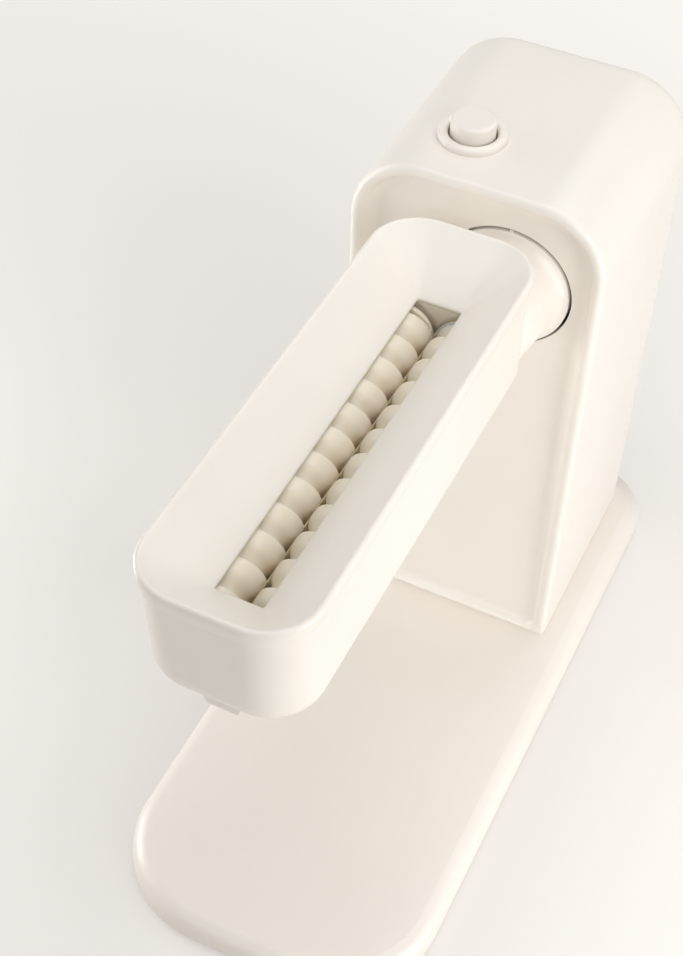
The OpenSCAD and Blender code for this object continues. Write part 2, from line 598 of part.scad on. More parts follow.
// ---------- arm ----------
module arm_out_2d() {
  r = arm_r - arm_draft; f = arm_edge_r;
  polygon([[0, arm_bottom], [r - f, arm_bottom], [r, arm_bottom + f], [arm_r, tray_seat], [0, tray_seat]]);
  translate([r - f, arm_bottom + f]) circle(r = f);
}
module arm_in_2d() {
  r = arm_r - arm_draft - arm_wall; f = max(arm_edge_r - arm_wall, 2); z0 = arm_bottom + 3;
  polygon([[0, z0], [r - f, z0], [r, z0 + f], [arm_r - arm_wall, tray_seat + 1], [0, tray_seat + 1]]);
  translate([r - f, z0 + f]) circle(r = f);
}
// rounded prism from a corner section: x outwards from the corner centre, y upwards
module ring4(hw, y0, y1, r) {
  for (k = [0, 1]) mirror([k, 0, 0]) {
    translate([hw - r, y0 + r, 0]) rotate([0, 0, -90]) rotate_extrude(angle = 90) children();
    translate([hw - r, y1 - r, 0]) rotate_extrude(angle = 90) children();
    translate([hw - r, 0, 0]) along_y(y0 + r, y1 - r) children();
  }
  translate([hw - r, y0 + r, 0]) rotate([90, 0, -90]) linear_extrude(height = 2 * (hw - r)) children();
  translate([r - hw, y1 - r, 0]) rotate([90, 0, 90]) linear_extrude(height = 2 * (hw - r)) children();
}
collar_end = py + 6.2;
module collar_2d() {
  // x is the radius, y is minus the distance along Y
  f = 14;
  square([collar_r - f, f]);
  translate([0, -collar_end]) square([collar_r, collar_end + 2]);
  intersection() {
    translate([collar_r - f, 0]) circle(r = f);
    square([collar_r, f]);
  }
}
module arm_body() placed() color([0.96, 0.93, 0.88]) {
  difference() {
    union() {
      difference() {
        union() {
          ring4(arm_hw, arm_front, arm_rear, arm_r) arm_out_2d();
          box(-arm_hw + arm_r, arm_hw - arm_r, arm_front + arm_r, arm_rear - arm_r, arm_bottom, tray_seat);
        }
        ring4(arm_hw, arm_front, arm_rear, arm_r) arm_in_2d();
        box(-arm_hw + arm_r, arm_hw - arm_r, arm_front + arm_r, arm_rear - arm_r, arm_bottom + 3, tray_seat + 1);
      }
      // round collar that enters the column
      translate([axis_x, 0, axis_z]) rotate([90, 0, 0]) rotate_extrude($fn = 96) collar_2d();
      box(axis_x - 1.1, axis_x + 1.1, 2, recess_d + 2.2, axis_z + collar_r - 1, axis_z + hole_r - 0.2);
    }
    cyl_y(axis_x, axis_z, lug_r, -5, collar_end + 1, 96);
    cyl_y(axis_x, axis_z, shaft_r + 2, -15, 0);
    box(-nib_w / 2 - 0.15, nib_w / 2 + 0.15, nib_y - 0.15, nib_y + 14.15, arm_bottom - 1, arm_bottom + 8);
  }
  for (k = [0:2]) translate([axis_x, collar_end, axis_z]) rotate([90, 0, 0]) linear_extrude(height = 3.6)
    sector_2d(hub_r + 0.4, lug_r + 1, 120 * k - 20, 120 * k + 20);
}
module stadium_2d(r) {
  for (s = [-1, 1]) translate([s * axis_x, axis_z]) circle(r = r);
  translate([-axis_x, axis_z - r]) square([2 * axis_x, 2 * r]);
}
module barrel() placed() color([0.84, 0.82, 0.77]) difference() {
  union() {
    intersection() {
      along_y(arm_front + 6.5, plate_y) stadium_2d(barrel_r);
      translate([0, 0, arm_bottom]) linear_extrude(height = 60)
        round_rect(arm_hw - arm_draft - arm_wall, arm_front + 4.8, plate_y + 20, arm_r - arm_draft - arm_wall - 0.2);
    }
    box(-nib_w / 2, nib_w / 2, nib_y, nib_y + 14, arm_bottom + 8, axis_z - bore_r);
  }
  for (s = [-1, 1]) {
    cyl_y(s * axis_x, axis_z, bore_r, bore_front, plate_y + 1);
    cyl_y(s * axis_x, axis_z, pin_r + run, bore_front - 5.4, bore_front + 1);
  }
  // feed opening under the tray
  box(-axis_x, axis_x, bore_front, plate_y - 0.8, axis_z, axis_z + 20);
  box(-arm_hw, arm_hw, arm_front, plate_y + 1, barrel_top, barrel_top + 11);
  // way down to the nozzle
  box(-nib_w / 2 + 3.5, nib_w / 2 - 3.5, bore_front + 0.1, nib_y + 12, arm_bottom + 3, axis_z - 3.2);
  for (p = plate_at) cyl_y(p[0], p[1], 1.2, plate_y - 8, plate_y + 1, 24);
}
plate_at = [[0, axis_z - 12.8], [-axis_x - 14.2, axis_z + 7.4], [axis_x + 14.2, axis_z + 7.4]];
module bearing_plate() placed() color([0.72, 0.72, 0.73]) difference() {
  along_y(plate_y, plate_y + 5) difference() {
    stadium_2d(barrel_r);
    translate([-arm_hw, barrel_top]) square([2 * arm_hw, 10]);
  }
  for (s = [-1, 1]) {
    cyl_y(s * axis_x, axis_z, shaft_r + 3, plate_y - 1, plate_y + 3);
    cyl_y(s * axis_x, axis_z, shaft_r + 2, plate_y, plate_y + 7);
  }
  for (p = plate_at) {
    cyl_y(p[0], p[1], 1.4, plate_y - 1, plate_y + 7, 24);
    cyl_y(p[0], p[1], 2.4, plate_y + 3.4, plate_y + 7, 24);
  }
}
module plate_screws() placed() color([0.62, 0.62, 0.63])
  for (p = plate_at) {
    cyl_y(p[0], p[1], 2.2, plate_y + 3.4, plate_y + 4.8, 24);
    cyl_y(p[0], p[1], 1.2, plate_y - 7, plate_y + 3.4 + e, 24);
  }
module shaft_seals() placed() color([0.20, 0.20, 0.20])
  for (s = [-1, 1]) ring_y(s * axis_x, axis_z, shaft_r + run, shaft_r + 3, plate_y, plate_y + 3);
module shaft_bushes() placed() color([0.72, 0.55, 0.30]) {
  for (s = [-1, 1]) ring_y(s * axis_x, axis_z, shaft_r + run, shaft_r + 2, plate_y + 3, plate_y + 5);
  ring_y(axis_x, axis_z, shaft_r + run, shaft_r + 2, -14, -5);
}
// flights: smooth wide lands with a narrow deep groove, 15 steps in a turn
module flights(hand, turn) {
  h = flight_rear - flight_front;
  rotate([90, 0, 0]) linear_extrude(height = h, twist = -hand * 360 * turns, slices = round(15 * turns), $fn = 15)
    rotate(turn) polygon([for (i = [0:14]) let (a = 24 * i * hand, r = i < 13 ? screw_r : root_r)
      r * [cos(a), sin(a)]]);
}
module screw_left() placed() color([0.84, 0.80, 0.72]) translate([-axis_x, 0, axis_z]) {
  translate([0, flight_rear, 0]) flights(1, 77);
  cyl_y(0, 0, pin_r, flight_front - 6, flight_front);
  cyl_y(0, 0, shaft_r, flight_rear, pair_y + pair_w + 2);
}
module screw_right() placed() color([0.84, 0.80, 0.72]) translate([axis_x, 0, axis_z]) {
  translate([0, flight_rear, 0]) flights(-1, -94);
  cyl_y(0, 0, pin_r, flight_front - 6, flight_front);
  cyl_y(0, 0, shaft_r, flight_rear, claw_y - 8.8);
  cyl_y(0, 0, 8.5, claw_y - 9.8, claw_y - 7.8);
  translate([0, claw_y - 0.4, 0]) rotate([90, 0, 0]) linear_extrude(height = 7.4 + e)
    for (a = [68, 248]) sector_2d(3, 8.2, a - 25, a + 25);
}
pair_y = plate_y + 5.3;
module gear_left() placed() color([0.86, 0.84, 0.78]) difference() {
  gear(-axis_x, axis_z, mesh_n, mesh_m, pair_y, pair_y + pair_w, 0);
  cyl_y(-axis_x, axis_z, shaft_r, pair_y - 1, pair_y + pair_w + 1);
}
module gear_right() placed() color([0.86, 0.84, 0.78]) difference() {
  gear(axis_x, axis_z, mesh_n, mesh_m, pair_y, pair_y + pair_w, 180 / mesh_n);
  cyl_y(axis_x, axis_z, shaft_r, pair_y - 1, pair_y + pair_w + 1);
}
module slot_outline(g, r) round_rect(slot_half_w + g, slot_front - g, slot_rear + g, r, 24);
module hopper_tray() placed() color([0.95, 0.92, 0.86]) difference() {
  union() {
    translate([0, 0, tray_seat]) plate(rim_half_w, rim_front, rim_rear, rim_r, rim_r, rim_h, 1.5, 0.5);
    hull() {
      translate([0, 0, tray_seat]) linear_extrude(height = 0.1)
        round_rect(arm_hw - arm_wall - 0.6, arm_front + arm_wall + 0.4, arm_rear - arm_wall - 0.7, arm_r - arm_wall - 0.4);
      translate([0, 0, slot_z - slot_lip]) linear_extrude(height = 0.1) slot_outline(2.2, 2.4);
    }
  }
  hull() {
    translate([0, 0, rim_z - 0.7]) linear_extrude(height = 3)
      round_rect(rim_half_w - 1.9, rim_front + 1.9, rim_rear - 1.9, rim_r - 1.9);
    translate([0, 0, slot_z]) linear_extrude(height = 0.1) slot_outline(0, 0.8);
  }
  translate([0, 0, slot_z - slot_lip - 1]) linear_extrude(height = slot_lip + 3) slot_outline(0, 0.8);
}
module die_nozzle() placed() color([0.93, 0.90, 0.85]) {
  w = nib_w / 2; t = arm_bottom + 8; m = arm_bottom + 1; b = arm_bottom - 3;
  difference() {
    along_y(nib_y, nib_y + 14) polygon([[-w, t], [w, t], [w, m], [w - 1.85, b], [1.85 - w, b], [-w, m]]);
    box(3.5 - w, w - 3.5, nib_y + 3, nib_y + 12, m, t + 1);
    for (k = [-1:1]) box((w - 5) * k - 0.9, (w - 5) * k + 0.9, nib_y + 3.5, nib_y + 11, b - 1, m + 1);
  }
}

base_plate();
ballast_plate();
bottom_cover();
rubber_feet();
cover_screws();
column_screws();
column_shell();
rear_cover();
rear_cover_screws();
power_inlet();
inlet_pins();
bayonet_socket();
socket_screws();
button_bezel();
button_cap();
button_spring();
micro_switch();
control_board();
motor_body();
motor_gear_head();
motor_pinion();
gearbox_plate();
gearbox_cover();
gearbox_screws();
output_gear();
output_shaft();
arm_body();
barrel();
bearing_plate();
plate_screws();
shaft_bushes();
shaft_seals();
screw_left();
screw_right();
gear_left();
gear_right();
hopper_tray();
die_nozzle();
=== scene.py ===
import bpy
import bmesh
import json
import math
from mathutils import Matrix, Vector


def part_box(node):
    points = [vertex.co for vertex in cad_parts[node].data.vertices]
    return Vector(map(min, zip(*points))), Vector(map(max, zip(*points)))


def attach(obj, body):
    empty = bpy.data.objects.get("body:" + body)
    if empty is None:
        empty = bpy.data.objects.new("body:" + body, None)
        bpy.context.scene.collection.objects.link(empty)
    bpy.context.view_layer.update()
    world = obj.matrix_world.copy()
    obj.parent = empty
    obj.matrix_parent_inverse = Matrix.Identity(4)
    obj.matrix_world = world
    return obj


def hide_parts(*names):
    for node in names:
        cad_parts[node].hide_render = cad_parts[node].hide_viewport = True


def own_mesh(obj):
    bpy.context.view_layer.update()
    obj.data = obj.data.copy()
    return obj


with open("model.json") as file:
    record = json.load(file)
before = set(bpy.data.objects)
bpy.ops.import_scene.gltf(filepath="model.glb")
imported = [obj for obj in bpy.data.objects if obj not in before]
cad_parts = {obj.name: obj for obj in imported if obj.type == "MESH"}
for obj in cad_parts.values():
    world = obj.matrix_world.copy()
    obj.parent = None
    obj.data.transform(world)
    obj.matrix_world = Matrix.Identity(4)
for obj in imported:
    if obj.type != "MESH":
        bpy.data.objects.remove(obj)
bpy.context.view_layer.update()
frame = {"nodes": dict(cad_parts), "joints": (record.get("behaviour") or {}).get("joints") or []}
NODES = frame["nodes"]
JOINTS = {joint["name"]: joint for joint in frame["joints"]}

# Lengths are the part's own millimetres: x to the right of its middle, y behind the column's
# front plane, z above the underside of the base plate. at() turns them into Blender's metres.
MM = 0.001
SHIFT_Y = round(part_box("column_shell")[0].y / MM, 2)
FOOT = round(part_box("base_plate")[0].z / MM, 2)


def at(x, y, z):
    """The Blender point of a point of the part."""
    return Vector((x * MM, (y + SHIFT_Y) * MM, (z + FOOT) * MM))


def in_part(point):
    """The point of the part, to a hundredth of a millimetre, of a Blender point."""
    return [round(c / MM - shift, 2) for c, shift in zip(point, (0.0, SHIFT_Y, FOOT))]


def node_box(node):
    """A CAD node's lowest and highest corner."""
    return [in_part(corner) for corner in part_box(node)]


# ---------------------------------------------------------------- camera
PHOTO_WIDTH, FOCAL = 683.0, 1673.5  # px
SENSOR = 36.0
CAMERA_PLACE = (181.83, -523.35, 689.87)
CAMERA_RIGHT = (0.89886, 0.43766, 0.02279)
CAMERA_UP = (-0.333369, 0.64906, 0.683803)
CAMERA_BACK = (0.28448, -0.622235, 0.729311)


def add_camera():
    data = bpy.data.cameras.new("camera")
    data.sensor_fit = "HORIZONTAL"
    data.sensor_width = SENSOR
    data.lens = FOCAL * SENSOR / PHOTO_WIDTH
    data.clip_start, data.clip_end = 0.05, 20.0
    camera = bpy.data.objects.new("camera", data)
    turn = Matrix((CAMERA_RIGHT, CAMERA_UP, CAMERA_BACK)).transposed().to_4x4()
    camera.matrix_world = Matrix.Translation(at(*CAMERA_PLACE)) @ turn
    bpy.context.scene.collection.objects.link(camera)
    bpy.context.scene.camera = camera


# ---------------------------------------------------------------- shader nodes
def lin(rgb):
    """Linear colour, with alpha, of an sRGB colour of 0 to 255."""
    shares = [c / 255.0 for c in rgb]
    return (*(s / 12.92 if s <= 0.04045 else ((s + 0.055) / 1.055) ** 2.4 for s in shares), 1.0)


def set_inputs(node, **inputs):
    """Sets a node's inputs by their names, with _ for a space."""
    for name, value in inputs.items():
        node.inputs[name.replace("_", " ")].default_value = value
    return node


def new_node(tree, kind, **inputs):
    return set_inputs(tree.nodes.new("ShaderNode" + kind), **inputs)


def new_material(name, **inputs):
    """A material, its node tree and its Principled shader with those inputs."""
    material = bpy.data.materials.new(name)
    material.use_nodes = True
    tree = material.node_tree
    tree.nodes.clear()
    out = new_node(tree, "OutputMaterial")
    shader = new_node(tree, "BsdfPrincipled", **inputs)
    tree.links.new(shader.outputs["BSDF"], out.inputs["Surface"])
    return material, tree, shader


def object_place(tree):
    return new_node(tree, "TexCoord").outputs["Object"]


def noise(tree, place, scale, detail, rough):
    """Noise of so many waves over a metre."""
    node = new_node(tree, "TexNoise", Scale=scale, Detail=detail, Roughness=rough)
    tree.links.new(place, node.inputs["Vector"])
    return node.outputs["Fac"]


def two_tone(tree, factor, *stops):
    """Eases between two stops of (factor, colour)."""
    node = new_node(tree, "ValToRGB")
    node.color_ramp.interpolation = "EASE"
    for element, (position, colour) in zip(node.color_ramp.elements, stops):
        element.position = position
        element.color = colour
    tree.links.new(factor, node.inputs["Fac"])
    return node.outputs["Color"]


def spread(tree, factor, low, high):
    """Stretches the middle of a noise over low to high."""
    node = new_node(tree, "MapRange", From_Min=0.3, From_Max=0.7, To_Min=low, To_Max=high)
    tree.links.new(factor, node.inputs["Value"])
    return node.outputs["Result"]


def bumped(tree, shader, layers):
    """Stacks bump layers of (height output, strength, distance in metres) on a shader."""
    normal = None
    for height, strength, distance in layers:
        bump = new_node(tree, "Bump", Strength=strength, Distance=distance)
        tree.links.new(height, bump.inputs["Height"])
        if normal is not None:
            tree.links.new(normal, bump.inputs["Normal"])
        normal = bump.outputs["Normal"]
    tree.links.new(normal, shader.inputs["Normal"])


# ---------------------------------------------------------------- materials
DRIFT, GLOSS, WAVE, PEEL, SCRATCH = 14.0, 240.0, 90.0, 2600.0, 900.0  # waves over a metre
WAVE_DEPTH, PEEL_DEPTH, SCRATCH_DEPTH = 0.00012, 0.00003, 0.00004  # metres
COAT_ROUGH = 0.18
MILKY_RADII, MILKY_DEPTH = (1.0, 0.88, 0.72), 0.004  # shares by colour, metres


def moulded(name, rgb, rough, vary, peel=PEEL, peel_depth=PEEL_DEPTH, milky=0.0, coat=0.0, spec=0.5):
    """Moulded plastic, enamel or rubber: faint tone drift, uneven gloss, orange peel on a slow wave.

    vary is the tone drift in sRGB steps, and milky how much of the light spreads under the surface.
    """
    material, tree, shader = new_material(name, Specular_IOR_Level=spec)
    place = object_place(tree)
    darker = lin([max(0, c - vary) for c in rgb])
    lighter = lin([min(255, c + vary * 0.5) for c in rgb])
    tone = two_tone(tree, noise(tree, place, DRIFT, 3.0, 0.55), (0.25, darker), (0.75, lighter))
    tree.links.new(tone, shader.inputs["Base Color"])
    gloss = spread(tree, noise(tree, place, GLOSS, 4.0, 0.6), rough - 0.05, rough + 0.07)
    tree.links.new(gloss, shader.inputs["Roughness"])
    bumped(tree, shader, [(noise(tree, place, peel, 2.0, 0.5), 0.35, peel_depth),
                          (noise(tree, place, WAVE, 2.0, 0.5), 0.15, WAVE_DEPTH)])
    if coat:
        set_inputs(shader, Coat_Weight=coat, Coat_Roughness=COAT_ROUGH)
    if milky:
        set_inputs(shader, Subsurface_Weight=milky, Subsurface_Radius=MILKY_RADII,
                   Subsurface_Scale=MILKY_DEPTH)
    return material


def metal(name, rgb, rough, brushed=None):
    """Metal with fine scratches; brushed scales them along each axis, so that they run in lines."""
    material, tree, shader = new_material(name, Metallic=1.0)
    place = object_place(tree)
    if brushed:
        stretch = new_node(tree, "Mapping", Scale=brushed)
        tree.links.new(place, stretch.inputs["Vector"])
        place = stretch.outputs["Vector"]
    scratch = noise(tree, place, SCRATCH, 4.0, 0.65)
    darker = lin([c * 0.82 for c in rgb])
    tree.links.new(two_tone(tree, scratch, (0.2, darker), (0.8, lin(rgb))), shader.inputs["Base Color"])
    tree.links.new(spread(tree, scratch, rough - 0.1, rough + 0.14), shader.inputs["Roughness"])
    bumped(tree, shader, [(scratch, 0.25, SCRATCH_DEPTH)])
    return material


shell = moulded("shell_plastic", (239, 233, 224), 0.34, 2, coat=0.25)
enamel = moulded("base_enamel", (236, 229, 220), 0.36, 2, peel=1500.0, peel_depth=0.00004, coat=0.2)
button_plastic = moulded("button_plastic", (238, 232, 223), 0.38, 2)
screw_plastic = moulded("screw_plastic", (235, 226, 209), 0.42, 4, milky=0.9)
barrel_plastic = moulded("barrel_plastic", (232, 220, 200), 0.5, 5, milky=0.5)
# painted highlight: golden tone of the thin sheet that shows as a glowing sliver between the screws
web_highlight_plastic = moulded("web_highlight_plastic", (232, 208, 160), 0.45, 4, milky=0.8)
gear_plastic = moulded("gear_plastic", (222, 214, 198), 0.45, 4)
dark_plastic = moulded("dark_plastic", (56, 56, 58), 0.55, 6)
black_plastic = moulded("black_plastic", (26, 26, 27), 0.5, 4)
rubber = moulded("rubber", (34, 34, 34), 0.8, 6, peel=1800.0, peel_depth=0.0001, spec=0.25)
silicone = moulded("silicone", (214, 200, 176), 0.6, 6, milky=0.3)
board_resin = moulded("board_resin", (28, 92, 52), 0.4, 8)
steel = metal("steel", (178, 178, 180), 0.32, (1, 1, 12))
plate_aluminium = metal("plate_aluminium", (196, 197, 199), 0.4, (14, 1, 1))
shaft_steel = metal("shaft_steel", (190, 190, 192), 0.25, (1, 0.06, 1))
gear_head_metal = metal("gear_head_metal", (120, 122, 125), 0.5)
brass = metal("brass", (205, 168, 98), 0.32)
bronze = metal("bronze", (178, 132, 78), 0.36)
ballast_steel = metal("ballast_steel", (110, 112, 116), 0.6, (1, 9, 1))

LOOK = {
    "base_plate": enamel,
    "column_shell": shell,
    "rear_cover": shell,
    "arm_body": shell,
    "hopper_tray": shell,
    "die_nozzle": shell,
    "button_bezel": shell,
    "button_cap": button_plastic,
    "button_spring": steel,
    "screw_left": screw_plastic,
    "screw_right": screw_plastic,
    "barrel": barrel_plastic,
    "bearing_plate": barrel_plastic,
    "shaft_seals": silicone,
    "shaft_bushes": bronze,
    "plate_screws": steel,
    "gear_left": gear_plastic,
    "gear_right": gear_plastic,
    "bayonet_socket": dark_plastic,
    "socket_screws": steel,
    "output_shaft": shaft_steel,
    "output_gear": gear_plastic,
    "gearbox_plate": plate_aluminium,
    "gearbox_cover": plate_aluminium,
    "gearbox_screws": steel,
    "motor_pinion": brass,
    "motor_gear_head": gear_head_metal,
    "motor_body": steel,
    "micro_switch": black_plastic,
    "control_board": board_resin,
    "power_inlet": black_plastic,
    "inlet_pins": steel,
    "rear_cover_screws": steel,
    "column_screws": steel,
    "ballast_plate": ballast_steel,
    "bottom_cover": dark_plastic,
    "cover_screws": steel,
    "rubber_feet": rubber,
}


def paint(piece, material):
    piece.data.materials.clear()
    piece.data.materials.append(material)


# ---------------------------------------------------------------- outlines
def circle(n):
    """n directions round a circle, as (cosine, sine)."""
    return [(math.cos(2 * math.pi * i / n), math.sin(2 * math.pi * i / n)) for i in range(n)]


def arc(x, y, radius, start, sweep, steps):
    """Points of an arc about (x, y), from start degrees on through sweep degrees."""
    turns = [math.radians(start + sweep * k / steps) for k in range(steps + 1)]
    return [(x + radius * math.cos(a), y + radius * math.sin(a)) for a in turns]


def rounded(half, front, rear, r, steps):
    """Rectangle with round corners, counter-clockwise from the right side's rear."""
    return (arc(half - r, rear - r, r, 0, 90.0, steps) + arc(r - half, rear - r, r, 90, 90.0, steps)
            + arc(r - half, front + r, r, 180, 90.0, steps) + arc(half - r, front + r, r, 270, 90.0, steps))


# ---------------------------------------------------------------- meshes
def mesh_object(name, bm):
    """New object of a bmesh, with its faces turned outwards."""
    bmesh.ops.recalc_face_normals(bm, faces=bm.faces)
    mesh = bpy.data.meshes.new(name)
    bm.to_mesh(mesh)
    bm.free()
    piece = bpy.data.objects.new(name, mesh)
    bpy.context.scene.collection.objects.link(piece)
    return piece


def from_faces(name, points, faces):
    """New object of points of the part and of faces that name them by number."""
    bm = bmesh.new()
    verts = [bm.verts.new(at(*p)) for p in points]
    for face in faces:
        bm.faces.new([verts[i] for i in face])
    return mesh_object(name, bm)


def walls(rings, closed=False):
    """Faces between rings of as many points each; closed joins the last ring to the first too."""
    n, faces = len(rings[0]), []
    for k in range(len(rings) if closed else len(rings) - 1):
        a, b = k * n, (k + 1) % len(rings) * n
        faces += [(a + i, a + (i + 1) % n, b + (i + 1) % n, b + i) for i in range(n)]
    return faces


def loft(name, rings):
    """Tube through rings that closes on itself."""
    return from_faces(name, [p for ring in rings for p in ring], walls(rings, closed=True))


def solid(name, rings, ladder=False):
    """Solid through rings, capped at both ends; a ladder cap runs between a ring's two halves."""
    n, faces = len(rings[0]), walls(rings)
    for b in (0, (len(rings) - 1) * n):
        if ladder:
            faces += [(b + k, b + k + 1, b + n - 2 - k, b + n - 1 - k) for k in range(n // 2 - 1)]
        else:
            faces.append(range(b, b + n))
    return from_faces(name, [p for ring in rings for p in ring], faces)


def block(x0, x1, y0, y1, z0, z1):
    points = [(x, y, z) for z in (z0, z1) for y in (y0, y1) for x in (x0, x1)]
    return from_faces("block", points, [(0, 1, 3, 2), (4, 5, 7, 6), (0, 1, 5, 4),
                                        (2, 3, 7, 6), (0, 2, 6, 4), (1, 3, 7, 5)])


def lathe(bm, x, profile, columns):
    """Adds a closed solid, turned about the screws' height at x, from (radius, y) pairs."""
    rows = [[bm.verts.new(at(x + r * c, y, AXIS_Z + r * s)) for c, s in circle(columns)]
            for r, y in profile]
    for row, after in zip(rows, rows[1:]):
        for j in range(columns):
            q = (j + 1) % columns
            bm.faces.new((row[j], row[q], after[q], after[j]))
    bm.faces.new(rows[0])
    bm.faces.new(list(reversed(rows[-1])))


def turned(profile, columns=96):
    """Closed solid, turned about the arm's axis, from (radius, y) pairs."""
    bm = bmesh.new()
    lathe(bm, AXIS_X, profile, columns)
    return mesh_object("turned", bm)


def cylinder(radius, front, rear, columns=96):
    return turned([(radius, front), (radius, rear)], columns)


def combine(piece, other, operation):
    """Boolean of two closed solids, kept as a plain mesh; the second one is used up."""
    boolean = piece.modifiers.new("boolean", "BOOLEAN")
    boolean.operation = operation
    boolean.solver = "EXACT"
    boolean.object = other
    depsgraph = bpy.context.evaluated_depsgraph_get()
    depsgraph.update()
    mesh = bpy.data.meshes.new_from_object(piece.evaluated_get(depsgraph))
    piece.modifiers.clear()
    piece.data = mesh
    bpy.data.objects.remove(other, do_unlink=True)


def joined(name, parts):
    """One object of several, which are used up."""
    bm = bmesh.new()
    for part in parts:
        bm.from_mesh(part.data)
        bpy.data.objects.remove(part, do_unlink=True)
    return mesh_object(name, bm)


def dress(piece, material, angle):
    """Paints a piece and shades it smooth, with edges sharper than the angle kept crisp."""
    paint(piece, material)
    bm = bmesh.new()
    bm.from_mesh(piece.data)
    limit = math.radians(angle)
    for face in bm.faces:
        face.smooth = True
    for edge in bm.edges:
        edge.smooth = not (edge.is_manifold and edge.calc_face_angle(0.0) > limit)
    bm.to_mesh(piece.data)
    bm.free()


def steady_normals(piece):
    """Keeps large faces flat next to the narrow faces that a boolean leaves."""
    piece.modifiers.new("normals", "WEIGHTED_NORMAL").keep_sharp = True


# ---------------------------------------------------------------- arm housing
AXIS_X, AXIS_Z = in_part(JOINTS["arm_twist"]["pos_m"])[::2]
ARM_HALF = -node_box("arm_body")[0][0]
ARM_SEAT = node_box("arm_body")[1][2]
ARM_FRONT, ARM_REAR, ARM_BOTTOM = -232.0, -8.0, 199.0
ARM_CORNER = 21.0  # radius in plan, at the seat
FRONT_LEAN = 4.0  # how far the front wall comes in down to the bottom
EDGE = 12.5  # radius of the lower edge
BAND_Z, BAND_IN = 252.2, 1.2  # the step that the tray's skirt covers
WALL, FRONT_WALL, DRAFT = 2.6, 4.6, 2.0
NOZZLE_GAP = 0.15
COLLAR_R, COLLAR_REAR = 29.0, 16.0
SWEEP_R = 9.0  # hollow arc between the neck and the collar's rim


def share_down(z):
    """0 at the seat of the tray, 1 at the arm's bottom."""
    return (ARM_SEAT - z) / (ARM_SEAT - ARM_BOTTOM)


def arm_ring(z, inset=0.0):
    """Outer form of the arm at a height; its front leans in towards the bottom."""
    down = share_down(z)
    outline = rounded(ARM_HALF - inset, ARM_FRONT + FRONT_LEAN * down + inset, ARM_REAR - inset,
                      ARM_CORNER + down - inset, 16)
    return [(x, y, z) for x, y in outline]


def hollow_ring(z, inset=0.0):
    """Inner form of the arm at a height; its walls grow thicker towards the bottom."""
    draft = DRAFT * share_down(z)
    outline = rounded(ARM_HALF - WALL - draft - inset, ARM_FRONT + FRONT_WALL + draft + inset,
                      ARM_REAR - WALL - draft - inset, ARM_CORNER - WALL - draft - inset, 12)
    return [(x, y, z) for x, y in outline]


def arm_tub():
    """Outside of the arm: round lower edge, walls, and the step that the tray's skirt covers."""
    turns = [math.radians(9.0 * k) for k in range(11)]
    rings = [arm_ring(ARM_BOTTOM + EDGE * (1 - math.cos(a)), EDGE * (1 - math.sin(a))) for a in turns]
    rings += [arm_ring(z) for z in (213.0, 225.0, 240.0, 250.0, BAND_Z - 0.35)]
    rings += [arm_ring(BAND_Z - 0.1, 0.12), arm_ring(BAND_Z, 0.4), arm_ring(BAND_Z, BAND_IN),
              arm_ring(ARM_SEAT - 0.1, BAND_IN)]
    return solid("arm_housing", rings)


def arm_hollow():
    floor_rings = [(202.0, 9.0), (202.6, 5.8), (204.6, 2.7), (207.6, 0.7)]
    rings = [hollow_ring(z, inset) for z, inset in floor_rings]
    return solid("hollow", rings + [hollow_ring(z) for z in (211.0, 230.0, 258.0)])


def neck():
    """Neck of the arm, which sweeps out into the collar that enters the column."""
    sweep = arc(33.56, -1.7, SWEEP_R, -185.4, -54.1, 10)
    return turned([(19.4, -26.0), (22.7, -20.0), (23.6, -10.0), (24.6, -0.85), *sweep[1:],
                   (COLLAR_R, 6.4), (COLLAR_R, COLLAR_REAR)])


def nozzle_hole():
    (left, front, _), (right, rear, top) = node_box("die_nozzle")
    return block(left - NOZZLE_GAP, right + NOZZLE_GAP, front - NOZZLE_GAP, rear + NOZZLE_GAP,
                 ARM_BOTTOM - 3.0, top)


def index_mark():
    """Small mark on the collar at 12 o'clock."""
    return block(AXIS_X - 0.7, AXIS_X + 0.7, 6.5, 8.4, AXIS_Z + 27.5, AXIS_Z + 29.9)


def add_arm_housing():
    arm = arm_tub()
    combine(arm, neck(), "UNION")
    combine(arm, arm_hollow(), "DIFFERENCE")
    combine(arm, cylinder(21.6, -14.0, -9.0, 64), "UNION")  # web behind the gears
    combine(arm, cylinder(8.0, -15.0, -4.0, 48), "DIFFERENCE")  # bore for the driven shaft
    combine(arm, cylinder(11.5, -5.0, 7.8, 48), "DIFFERENCE")  # room for the claws
    combine(arm, cylinder(26.0, 7.2, 17.0), "DIFFERENCE")  # open rear of the collar
    combine(arm, nozzle_hole(), "DIFFERENCE")
    combine(arm, index_mark(), "UNION")
    dress(arm, shell, 24.0)
    steady_normals(arm)
    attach(arm, "arm")
    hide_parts("arm_body")


# ---------------------------------------------------------------- column housing
COL_FOOT = node_box("column_shell")[0][2]
COL_HALF, COL_REAR, COL_TOP = node_box("column_shell")[1]
ARCH_R = 32.0
SIDE_LEVELS = (60.0, 100.0, 140.0, 178.0, 184.0, 189.0, 196.0, 220.0)  # points up a straight side
LIP, RECESS = 2.6, 6.8  # width of the round lip, full depth of the panel
RIM_R, COVE_R = 3.6, 6.6  # the two arcs of the S from the lip to the panel
PANEL_FOOT, PANEL_CORNER, PANEL_RISE = 16.0, 6.0, 0.55  # the foot's rise is for each mm inwards
SIDE_FOOT, SIDE_CORNER = 14.7, 1.4
LEAN_Z, LEAN_FOOT, LEAN_SHARE = 186.0, 18.0, 0.47
REAR_R = 10.0  # radius of the rear edge
COVER_IN, COVER_FOOT, COVER_DEPTH = 9.8, 24.0, 2.0  # seat of the rear cover
OPENING_IN, OPENING_FOOT, REAR_WALL = 16.0, 30.0, 4.5
SIDE_WALL, INSIDE_FOOT, PANEL_BACK = 2.8, 17.0, 9.8
